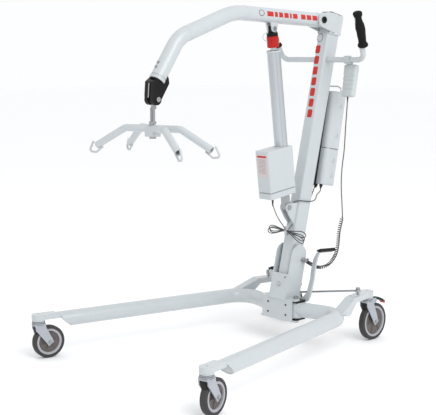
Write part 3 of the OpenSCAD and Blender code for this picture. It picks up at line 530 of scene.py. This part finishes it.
def wheelPieces(end, side):
    size, common = wheelSizes[end], wheelSizes
    short = end[0] + side[0]
    low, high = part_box(f"{end}_hub_{side}")
    centre = (low + high) / 2
    swivel = Vector(joints[f"{end}_{side}_swivel"]["pos_m"])
    axle = Vector(joints[f"{end}_{side}_wheel"]["axis"]).normalized()
    at = Matrix.Translation(centre) @ axle.to_track_quat("Z", "Y").to_matrix().to_4x4()
    edge, half = size["diameter"] / 2 - common["tread"], size["width"] / 2
    ring = lathe([(edge - 0.010, 0.004), (edge - 0.009, half - 0.002), (edge - 0.008, half - 0.001),
                  (edge - 0.001, half - 0.001), (edge, half - 0.002), (edge, 0.002 - half),
                  (edge - 0.001, 0.001 - half), (edge - 0.008, 0.001 - half),
                  (edge - 0.009, 0.002 - half), (edge - 0.010, -0.004)], common["steps"])
    rim = addPiece(f"rim_{short}", *ring, "wheelRing", f"wheel_{short}", at)
    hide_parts(f"{end}_hub_{side}")
    disc = edge - 0.009
    profile = [(0.0052, half + 0.0008), (0.0110, half + 0.0008), (0.0125, half - 0.0005),
               (0.0140, 0.0070), (0.0180, 0.0056), (disc * 0.62, 0.0050), (disc * 0.72, 0.0062),
               (disc * 0.90, 0.0066), (disc, 0.0052)]
    under = [(r, -z) for r, z in profile[::-1]]
    parts = [lathe(profile + under, common["steps"])]
    rib = outline([(0.013, -0.0011), (disc * 0.93, -0.0009), (disc * 0.93, 0.0009),
                   (0.013, 0.0011)], -0.0080, 0.0080)
    for k in range(common["ribs"]):
        parts.append(placed(rib, turned(360 / common["ribs"] * k + common["ribTurn"], "Z")))
    addPiece(f"disc_{short}", *joinShapes(*parts), "wheelDisc", f"wheel_{short}", at)
    cap = lathe([(0, half + 0.0092), (0.0050, half + 0.0092), (0.0062, half + 0.0084),
                 (0.0062, half + 0.0071), (0.0095, half + 0.0071), (0.0095, half + 0.0064)], 24)
    nut = hexagon(common["nutRadius"])
    nuts = joinShapes(cap, outline(nut, half + 0.0068, half + 0.0105))
    both = joinShapes(nuts, placed(nuts, Matrix.Rotation(math.pi, 4, "X")))
    addPiece(f"axle_nuts_{short}", *both, "zinc", f"caster_{short}", at, bevel=0.0004)
    # Swivel head: pressed ring lines, dust lip and the dark stop block in front of the wheel
    up = size["under"] - common["forkGap"]
    head = Matrix.Translation((swivel.x, swivel.y, 0))
    lip = lathe([(0.0205, up + 0.0002), (0.0243, up - 0.0002), (0.0247, up - 0.0016),
                 (0.0243, up - 0.0032), (0.0236, up - 0.0036), (0.0236, up - 0.0072),
                 (0.0244, up - 0.0078), (0.0246, up - 0.0100), (0.0240, up - 0.0112),
                 (0.0225, up - 0.0116)], common["headSteps"])
    addPiece(f"swivel_rings_{short}", *lip, "casting", f"caster_{short}", head)
    lines = [lathe([(0.0225, z), (0.0249, z), (0.0249, z + 0.0008), (0.0225, z + 0.0008)],
                   common["headSteps"]) for z in [up - drop for drop in common["lineDrops"]]]
    addPiece(f"swivel_lines_{short}", *joinShapes(*lines), "darkSteel", f"caster_{short}", head)
    forward = Vector((swivel.x - centre.x, swivel.y - centre.y, 0)).normalized()
    yaw = math.atan2(-forward.x, forward.y)
    stop = head @ Matrix.Rotation(yaw, 4, "Z")
    deep = [(-0.0135, 0.0190), (-0.0100, 0.0226), (0.0100, 0.0226), (0.0135, 0.0190),
            (0.0135, 0.0080), (-0.0135, 0.0080)]
    block = outline(deep, up - 0.047, up - 0.0185)
    block = ([(x, y - max(0, (up - 0.034 - z)) * 0.5, z) for x, y, z in block[0]], block[1])
    addPiece(f"swivel_stop_{short}", *block, "blackPlastic", f"caster_{short}", stop,
             bevel=0.0012)


for end in ("front", "rear"):
    for side in ("left", "right"):
        wheelPieces(end, side)
print("wheels made")


# Grips
gripShape = dict(start=0.056, length=0.145, lean=5.7, reach=0.2196, fingers=3,
                 fingerDepth=0.0026, bulge=0.0030, oval=0.05, fingersFrom=0.12, fingersOver=0.62,
                 leastRadius=0.0085, steps=90, around=36,
                 radii=[(0, 0.0180), (0.03, 0.0205), (0.07, 0.0195), (0.13, 0.0150),
                        (0.32, 0.0160), (0.50, 0.0178), (0.62, 0.0172), (0.74, 0.0138),
                        (0.82, 0.0130), (0.89, 0.0170), (0.94, 0.0182), (0.98, 0.0160),
                        (1, 0.0090)])


def between(pairs, t):
    for (a, va), (b, vb) in zip(pairs, pairs[1:]):
        if t <= b:
            u = (t - a) / (b - a)
            return va + (vb - va) * u * u * (3 - 2 * u)
    return pairs[-1][1]


def gripRings(g):
    rings = []
    for i in range(g["steps"] + 1):
        t = i / g["steps"]
        z = g["start"] + g["length"] * t
        r = between(g["radii"], t)
        held = (t - g["fingersFrom"]) / g["fingersOver"]
        fade = math.sin(math.pi * min(1, max(0, held)))
        wave = (1 - math.cos(2 * math.pi * g["fingers"] * held)) / 2
        ring = []
        for k in range(g["around"]):
            a = 2 * math.pi * k / g["around"]
            front = max(0, -math.sin(a))
            rr = r * (1 + g["oval"] * math.cos(2 * a)) - g["fingerDepth"] * wave * fade * front
            rr = max(g["leastRadius"], rr + g["bulge"] * fade * max(0, math.sin(a)))
            ring.append((rr * math.cos(a), rr * math.sin(a), z))
        rings.append(ring)
    return rings


def gripFrame(side):
    # The bar's arm runs along the handle plane's y, so the grip's length turns onto it
    return grip @ Matrix.Translation((side * gripShape["reach"], 0, 0)) \
        @ turned(-side * gripShape["lean"], "Z") @ turned(-90, "X")


leftGrip = addPiece("grip_left", *loft(gripRings(gripShape)), "gripRubber", "base",
                    gripFrame(1))
addPiece("grip_right", *loft(gripRings(gripShape)), "gripRubber", "base", gripFrame(-1))
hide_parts("grips")
print("grips made")


# Handset
handsetShape = dict(top=-0.016, bottom=-0.144, width=0.062, narrow=0.055, front=0.014,
                    back=0.042, ribs=4, ribDepth=0.0036, ribsFrom=0.30, ribsOver=0.56,
                    corner=0.0085, endSpan=0.05, endShrink=0.30, steps=56, clipInner=0.0115,
                    clipOuter=0.0160, clipSteps=24, light=(0, 0.0418, -0.0325),
                    keyFace=0.0444, upMark=-0.050, downMark=-0.076)


def handsetRings(h):
    rings = []
    for i in range(h["steps"] + 1):
        t = i / h["steps"]
        z = h["top"] + (h["bottom"] - h["top"]) * t
        toTop = max(0, 1 - t / h["endSpan"])
        toBottom = max(0, (t - 1 + h["endSpan"]) / h["endSpan"])
        endRound = 1 - h["endShrink"] * (toTop ** 2 + toBottom ** 2)
        wide = (h["width"] + (h["narrow"] - h["width"]) * t ** 1.5) * (0.55 + 0.45 * endRound)
        deep = (h["back"] - h["front"]) * endRound
        along = (t - h["ribsFrom"]) / h["ribsOver"]
        wave = (1 - math.cos(2 * math.pi * h["ribs"] * along)) / 2 if 0 < along < 1 else 0
        mid = (h["front"] + h["back"]) / 2
        ring = []
        for x, y in roundedRect(wide, deep, min(h["corner"], deep / 2 - 0.0005), 6):
            if y < 0:
                y += h["ribDepth"] * wave * min(1, abs(y) / (deep / 2))
            ring.append((x, mid + y, z))
        rings.append(ring)
    return rings


shell = loft(handsetRings(handsetShape))
clip = []
inner, outer = handsetShape["clipInner"], handsetShape["clipOuter"]
for k in range(handsetShape["clipSteps"] + 1):
    a = math.radians(90 + 195 * k / handsetShape["clipSteps"])
    clip.append([(x, r * math.cos(a), r * math.sin(a)) for r, x in
                 ((inner, -0.0145), (outer - .0008, -0.0150), (outer, -0.0140),
                  (outer, 0.0140), (outer - .0008, 0.0150), (inner, 0.0145))])
neck = outline(roundedRect(0.030, 0.005, 0.002, 3), -0.030, -0.002)
neck = placed(neck, Matrix.Translation((0, 0.0145, 0)))
handsetPiece = addPiece("handset_shell", *joinShapes(shell, loft(clip), neck),
                        "handsetPlastic", "base", handset)
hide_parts("handset")
led = lathe([(0, 0.0014), (0.0016, 0.0012), (0.0022, 0.0004), (0.0022, 0)], 20)
keySide = handset @ tilted(handsetShape["light"], -90)
addPiece("handset_light", *led, "orangeTip", "base", keySide)


def keyMark(name, z, up, body):
    s = 1 if up else -1
    mark = outline([(-0.004, -0.002 * s), (0.004, -0.002 * s), (0, 0.0035 * s)][::s], 0, 0.0003)
    at = handset @ tilted((0, handsetShape["keyFace"], z), -90) @ Matrix.Scale(-1, 4, (0, 1, 0))
    addPiece(name, *mark, "palePlastic", body, at)


keyMark("up_mark", handsetShape["upMark"], True, "key_up")
keyMark("down_mark", handsetShape["downMark"], False, "key_down")
handsetRelief = dict(rise=0.014, step=0.002, slant=0, rings=18, radius=0.0052, taper=0.00016,
                     groove=0.0006, collar=0, collarRings=0)
relief = reliefSleeve(upper[0], handsetRelief)
reliefPiece = addPiece("handset_relief", *relief, "cableSheath", "base")


# Motor housing
motorShape = dict(front=-0.114, labelAt=0.190, label=(0.052, 0.088), film=0.0003,
                  band=(0.0475, 0.0075), bandAt=0.036, rows=11, firstRow=0.024, rowStep=0.0052,
                  rowWidth=0.040, rowSpread=0.010, rowHeight=0.0010, screwSide=0.028,
                  screwRows=(-0.102, 0.018), screwFace=0.0560)
# The housing's front face: local x across, local y up the housing
labelFace = actuator @ tilted((0, motorShape["front"], motorShape["labelAt"]), 90)
film = outline(roundedRect(*motorShape["label"], 0.002, 3), 0, motorShape["film"])
addPiece("motor_label", *film, "labelFilm", "actuator", labelFace)
bar = placed(outline(roundedRect(*motorShape["band"], 0.0003, 1), motorShape["film"], 0.0005),
             Matrix.Translation((0, motorShape["bandAt"], 0)))
addPiece("label_band", *bar, "redPrint", "actuator", labelFace)
rows = []
for k in range(motorShape["rows"]):
    y = motorShape["firstRow"] - motorShape["rowStep"] * k
    wide = motorShape["rowWidth"] \
        - motorShape["rowSpread"] * abs(noise.noise(Vector((k * 2.3, 1.1, 0))))
    row = outline(roundedRect(wide, motorShape["rowHeight"], 0.0003, 1),
                  motorShape["film"], 0.00045)
    rows.append(placed(row, Matrix.Translation(((wide - motorShape["rowWidth"]) / 2, y, 0))))
addPiece("label_rows", *joinShapes(*rows), "greyPrint", "actuator", labelFace)
motorRelief = dict(rise=0.010, step=0.0022, slant=0.00008, rings=18, radius=0.0058,
                   taper=0.00022, groove=0.0007, collar=0.0075, collarRings=5)
sleevePiece = addPiece("motor_relief", *reliefSleeve(motorLine[0], motorRelief),
                       "blackPlastic", "actuator")
screw = lathe([(0, -0.0030), (0.0012, -0.0030), (0.0014, -0.0012), (0.0034, -0.0012),
               (0.0040, -0.0006), (0.0040, 0.0006)], 20)
screws = [placed(screw, Matrix.Translation((x, y, motorShape["screwFace"])))
          for x in (-motorShape["screwSide"], motorShape["screwSide"])
          for y in motorShape["screwRows"]]
addPiece("motor_screws", *joinShapes(*screws), "darkSteel", "actuator", actuator)
print("motor and handset made")


# Battery and control box
packShape = dict(side=0.050, middle=0.042, back=0.082, latches=(0.040, 0.102, 0.205, 0.325),
                 split=0.149, latchSize=0.0085, latchTurn=25, windowAt=0.066, ridgesAt=0.345,
                 ridges=7, ridgeStep=0.0095,
                 plugs=((-0.022, 0.020), (0.004, 0.014), (0.027, 0.018)))


def crescent(size):
    outer = [(size * math.cos(a), size * math.sin(a))
             for a in [math.radians(-70 + 20 * k) for k in range(11)]]
    inner = [(0.62 * size * math.cos(a) + 0.18 * size, 0.82 * size * math.sin(a))
             for a in [math.radians(130 - 20 * k) for k in range(11)]]
    return outline(outer + inner, 0, 0.0008)


for side, tag in ((1, "left"), (-1, "right")):
    marks = []
    for z in packShape["latches"]:
        at = Matrix.Translation((side * (packShape["side"] + 0.0001), packShape["middle"], z)) \
            @ turned(90 * side, "Y") @ turned(packShape["latchTurn"], "Z")
        marks.append((placed(crescent(packShape["latchSize"]), at), z))
    low = [s for s, z in marks if z < packShape["split"]]
    high = [s for s, z in marks if z > packShape["split"]]
    addPiece(f"box_marks_{tag}", *joinShapes(*low), "greyPlastic", "base", pack)
    addPiece(f"pack_marks_{tag}", *joinShapes(*high), "greyPlastic", "battery", pack)
plug = lathe([(0, -0.017), (0.0036, -0.017), (0.0042, -0.011), (0.0066, -0.009),
              (0.0070, -0.002), (0.0070, 0.002)], 20)
plugs = [placed(plug, Matrix.Translation((x, y, 0))) for x, y in packShape["plugs"]]
addPiece("box_plugs", *joinShapes(*plugs), "blackPlastic", "base", pack)

# Lead from the left socket, down and round the mast's left side to the foot bracket
boxLead = dict(diameter=0.0042, route=[(0.031, 0.056, 0.418), (0.0325, 0.051, 0.402),
                                       (0.033, 0.036, 0.391), (0.0325, 0.008, 0.385),
                                       (0.0322, -0.020, 0.383), (0.0305, -0.037, 0.381),
                                       (0.022, -0.0425, 0.379), (0.010, -0.045, 0.374),
                                       (0.003, -0.049, 0.364)])
plugEnd = pack @ Vector((*packShape["plugs"][2], -0.016))
boxRoute = [plugEnd, plugEnd + (pack.to_3x3() @ Vector((0, 0, -0.012)))] \
    + [mast @ Vector(p) for p in boxLead["route"]]
boxLine = evenly(smoothPath(boxRoute, 12), 0.004)
boxPiece = cordCurve("boxLead", boxLine, boxLead["diameter"], "cableSheath", "base")
window = outline(roundedRect(0.030, 0.010, 0.002, 3), 0, 0.0008)
addPiece("charge_window", *window, "blackPlastic", "base",
         pack @ tilted((0, packShape["back"] - 0.0002, packShape["windowAt"]), -90))
ridge = outline(roundedRect(0.070, 0.0022, 0.001, 2), 0, 0.0012)
ridges = [placed(ridge, Matrix.Translation((0, packShape["ridgeStep"] * k, 0)))
          for k in range(packShape["ridges"])]
addPiece("pack_grip_ridges", *joinShapes(*ridges), "palePlastic", "battery",
         pack @ tilted((0, packShape["back"] - 0.0004, packShape["ridgesAt"]), -90))
print("battery made")


# Printed marks
# Plain bars stand where the maker's words would be: no letters, numbers or badge
printThick = 0.0003
mastMarks = dict(face=-0.035, first=0.998, step=0.0437, count=7, width=0.024, height=0.033,
                 corner=0.006, start=-0.013, shift=0.0023, ring=(-0.012, 1.046, 0),
                 ringSize=(0.0155, 0.0185), ringInner=0.84, ringPoints=32)
bar = outline(roundedRect(mastMarks["width"], mastMarks["height"], mastMarks["corner"], 4),
              0, printThick)
bars = []
for k in range(mastMarks["count"]):
    z = mastMarks["first"] - mastMarks["step"] * k
    bars.append(placed(bar, Matrix.Translation((mastMarks["start"] + mastMarks["shift"] * k,
                                                z, 0))))
mastFace = mast @ tilted((0, mastMarks["face"], 0), 90)
addPiece("mast_bars", *joinShapes(*bars), "redPrint", "base", mastFace)
wide, tall = mastMarks["ringSize"]
ringTurns = [2 * math.pi * k / mastMarks["ringPoints"] for k in range(mastMarks["ringPoints"])]
ringOut = [(wide * math.cos(a), tall * math.sin(a)) for a in ringTurns]
ringIn = [(x * mastMarks["ringInner"], y * mastMarks["ringInner"]) for x, y in ringOut]
ringShape = loft([[(x, y, z) for x, y in pts] for pts, z in
                  ((ringIn, 0.0), (ringOut, 0.0), (ringOut, printThick), (ringIn, printThick),
                   (ringIn, 0.0))], closed=False)
addPiece("mast_ring", *ringShape, "greyPrint", "base",
         mastFace @ Matrix.Translation(mastMarks["ring"]))

boomMarks = dict(radius=0.0285, rise=0.018 / 0.498, level=-0.001, levelAt=0.028, middle=8,
                 half=19, first=-0.318, gap=0.0075, blank=0.006, ringAt=-0.348, ringMiddle=10,
                 ringOuter=(0.0145, 25), ringInner=(0.0115, 20), ringPoints=28,
                 widths=(0.034, 0.016, 0.022, 0.024, 0.010, 0.026, 0, 0.026, 0.026, 0.028))


def onBoomTube(y, angle, out):
    # A point on the straight rear length of the boom; the angle is up from the left side
    z = boomMarks["level"] + (boomMarks["levelAt"] - y) * boomMarks["rise"]
    r = boomMarks["radius"] + out
    a = math.radians(angle)
    return (r * math.cos(a), y, z + r * math.sin(a))


def wrappedBar(a, b, low, high):
    rings = []
    for k in range(9):
        t = low + (high - low) * k / 8
        rings.append([onBoomTube(a, t, 0), onBoomTube(a, t, printThick),
                      onBoomTube(b, t, printThick), onBoomTube(b, t, 0)])
    return loft(rings)


def wrappedRing(along, up):
    turns = [2 * math.pi * k / boomMarks["ringPoints"] for k in range(boomMarks["ringPoints"])]
    return [onBoomTube(boomMarks["ringAt"] + along * math.cos(a),
                       boomMarks["ringMiddle"] + up * math.sin(a), printThick) for a in turns]


shapes, spot = [], boomMarks["first"]
for w in boomMarks["widths"]:
    if w:
        shapes.append(wrappedBar(spot, spot + w, boomMarks["middle"] - boomMarks["half"],
                                 boomMarks["middle"] + boomMarks["half"]))
    spot += (w or boomMarks["blank"]) + boomMarks["gap"]
addPiece("boom_bars", *joinShapes(*shapes), "redPrint", "boom", boom)
rings = [wrappedRing(*boomMarks["ringOuter"]), wrappedRing(*boomMarks["ringInner"])]
addPiece("boom_ring", *loft(rings, closed=False), "greyPrint", "boom", boom)
print("marks made")


# Boom fittings
tipShape = dict(run=(0, -103, -151), end=(0, -0.845, -0.230), bandBack=0.006, seamBack=0.014,
                slot=(0, -0.8805, -0.262), slotTurn=86, insert=(0.0060, 0.052), insertThick=0.0016)


def alongTip(back):
    # A frame on the boom's last straight, square to it
    d = Vector(tipShape["run"]).normalized()
    at = Vector(tipShape["end"]) - d * back
    return boom @ Matrix.Translation(at) @ d.to_track_quat("Z", "Y").to_matrix().to_4x4()


band = lathe([(0.0284, -0.0045), (0.0293, -0.0040), (0.0295, -0.0010), (0.0290, 0.0),
              (0.0295, 0.0010), (0.0293, 0.0040), (0.0284, 0.0045)], 56)
addPiece("boom_band", *band, "powderCoat", "boom", alongTip(tipShape["bandBack"]))
seam = lathe([(0.0283, -0.0006), (0.0288, -0.0004), (0.0288, 0.0004), (0.0283, 0.0006)], 56)
addPiece("boom_seam", *seam, "darkSteel", "boom", alongTip(tipShape["seamBack"]))

# The pull wire: from the boom's underside to the black ring top, with one small loop
wireShape = dict(diameter=0.0030, smooth=10, spacing=0.004, boomPoints=7,
                 route=[(18, -95, 1266), (14, -84, 1251), (8, -73, 1239), (1, -69, 1232),
                        (-8, -76, 1225), (-11, -82, 1214), (-9, -77, 1203), (-6, -66, 1197),
                        (-5, -58, 1195)])
wireLine = evenly(smoothPath(packed(wireShape["route"]), wireShape["smooth"]),
                  wireShape["spacing"])
pullWire = addPiece("pull_wire", *tubeShape(wireLine, wireShape["diameter"] / 2, 12),
                    "paleSheath", None)
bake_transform(pullWire)

zincStrip = outline(roundedRect(*tipShape["insert"], 0.0029, 5), 0, tipShape["insertThick"])
slotFace = boom @ tilted(tipShape["slot"], tipShape["slotTurn"])
addPiece("clevis_insert", *zincStrip, "zinc", "boom", slotFace, bevel=0.0004)


# Bolts, nuts and small fittings
smallShape = dict(rodNut=0.016, rodNutHeight=0.006, plateFace=(0, -0.046, 0.040),
                  plateHoleShade=(0.026, 0.030, 0), wingBolt=(0.0482, 0.022, 0.150),
                  wingTurns=(35, 215), brakeTip=(0.0226, 0.0150), brakeTipThick=0.0052,
                  brakeTipLean=-39)
rodNut = outline(hexagon(smallShape["rodNut"] / 2 / math.cos(math.radians(30))), 0,
                 smallShape["rodNutHeight"])
for side in ("left", "right"):
    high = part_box(f"tie_rod_{side}")[1]
    ball = Vector(joints[f"tie_rod_{side}_turn"]["pos_m"])
    addPiece(f"rod_nut_{side[0]}", *rodNut, "zinc", f"rod_{side[0]}",
             Matrix.Translation((ball.x, ball.y, high.z - 0.0005)), bevel=0.0006)

# The plate's middle boss, a dark steel dot painted as the shade of the plate's small hole, and the
# wing bolt on the left cheek
boss = lathe([(0, 0.0040), (0.0050, 0.0040), (0.0078, 0.0026), (0.0084, 0.0008), (0.0084, 0)], 32)
faceAt = mast @ tilted(smallShape["plateFace"], 90)
addPiece("plate_boss", *boss, "powderCoat", "base", faceAt)
# A dark steel dot stands in the plate's small hole: its dark colour is painted shade
dot = lathe([(0, 0.0016), (0.0022, 0.0014), (0.0034, 0.0004), (0.0034, 0)], 20)
addPiece("plate_hole_shade", *dot, "darkSteel", "base",
         faceAt @ Matrix.Translation(smallShape["plateHoleShade"]))
stem = lathe([(0, 0.016), (0.0050, 0.016), (0.0062, 0.014), (0.0066, 0.004), (0.0090, 0.003),
              (0.0090, 0)], 24)
wings = [placed(outline(roundedRect(0.0032, 0.011, 0.0014, 4), 0.006, 0.020),
                turned(turn, "Z") @ Matrix.Translation((0, 0.0095, 0)))
         for turn in smallShape["wingTurns"]]
cheekAt = mast @ Matrix.Translation(smallShape["wingBolt"]) @ turned(90, "Y")
addPiece("wing_bolt", *joinShapes(stem, *wings), "zinc", "base", cheekAt, bevel=0.0006)

tip = outline(roundedRect(*smallShape["brakeTip"], 0.002, 3), 0, smallShape["brakeTipThick"])
for side in ("left", "right"):
    low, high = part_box(f"brake_{side}")
    spot = ((low.x + high.x) / 2, high.y - 0.0085, low.z + 0.0012)
    addPiece(f"brake_tip_{side[0]}", *tip, "orangeTip", f"brake_{side[0]}",
             tilted(spot, smallShape["brakeTipLean"]), bevel=0.0008)
print("fittings made")


# Room
room = dict(floorColour=(0.985, 0.988, 0.990), world=(0.985, 0.992, 1.0), worldStrength=1.0,
            key=dict(place=(3.4, -0.6, 3.4), aim=(0, 0.1, 0.7), size=3.2, power=84),
            fill=dict(place=(-2.5, -3.0, 2.0), aim=(0, 0, 0.7), size=2.0, power=1),
            floorHalf=30, floorLevel=-0.0005, floorRough=0.8, floorShine=0.1,
            speckleScale=90, speckleHeight=0.0002)

floorMesh = bpy.data.meshes.new("floor")
corners = [(x * room["floorHalf"], y * room["floorHalf"], room["floorLevel"])
           for x, y in ((-1, -1), (1, -1), (1, 1), (-1, 1))]
floorMesh.from_pydata(corners, [], [(0, 1, 2, 3)])
floor = bpy.data.objects.new("floor", floorMesh)
scene.collection.objects.link(floor)
floorMat = bpy.data.materials.new("floorPaint")
floorMat.use_nodes = True
floorTree = floorMat.node_tree
floorShader = floorTree.nodes["Principled BSDF"]
floorShader.inputs["Base Color"].default_value = (*room["floorColour"], 1)
floorShader.inputs["Roughness"].default_value = room["floorRough"]
floorShader.inputs["Specular IOR Level"].default_value = room["floorShine"]
speckle = floorTree.nodes.new("ShaderNodeTexNoise")
speckle.inputs["Scale"].default_value = room["speckleScale"]
floorBump = floorTree.nodes.new("ShaderNodeBump")
floorBump.inputs["Distance"].default_value = room["speckleHeight"]
floorTree.links.new(speckle.outputs["Fac"], floorBump.inputs["Height"])
floorTree.links.new(floorBump.outputs["Normal"], floorShader.inputs["Normal"])
floorMesh.materials.append(floorMat)

world = bpy.data.worlds.new("studio")
scene.world = world
world.use_nodes = True
sky = world.node_tree.nodes["Background"]
sky.inputs["Color"].default_value = (*room["world"], 1)
sky.inputs["Strength"].default_value = room["worldStrength"]


def softbox(name, place, aim, size, power):
    data = bpy.data.lights.new(name, "AREA")
    data.shape = "DISK"
    data.size = size
    data.energy = power
    lamp = bpy.data.objects.new(name, data)
    scene.collection.objects.link(lamp)
    lamp.location = place
    lamp.rotation_euler = (Vector(place) - Vector(aim)).to_track_quat("Z", "Y").to_euler()


for name in ("key", "fill"):
    softbox(name, **room[name])


# Cord lengths
print("cords: box lead %.2f m, pull wire %.2f m" % (lengthOf(boxLine), lengthOf(wireLine)))
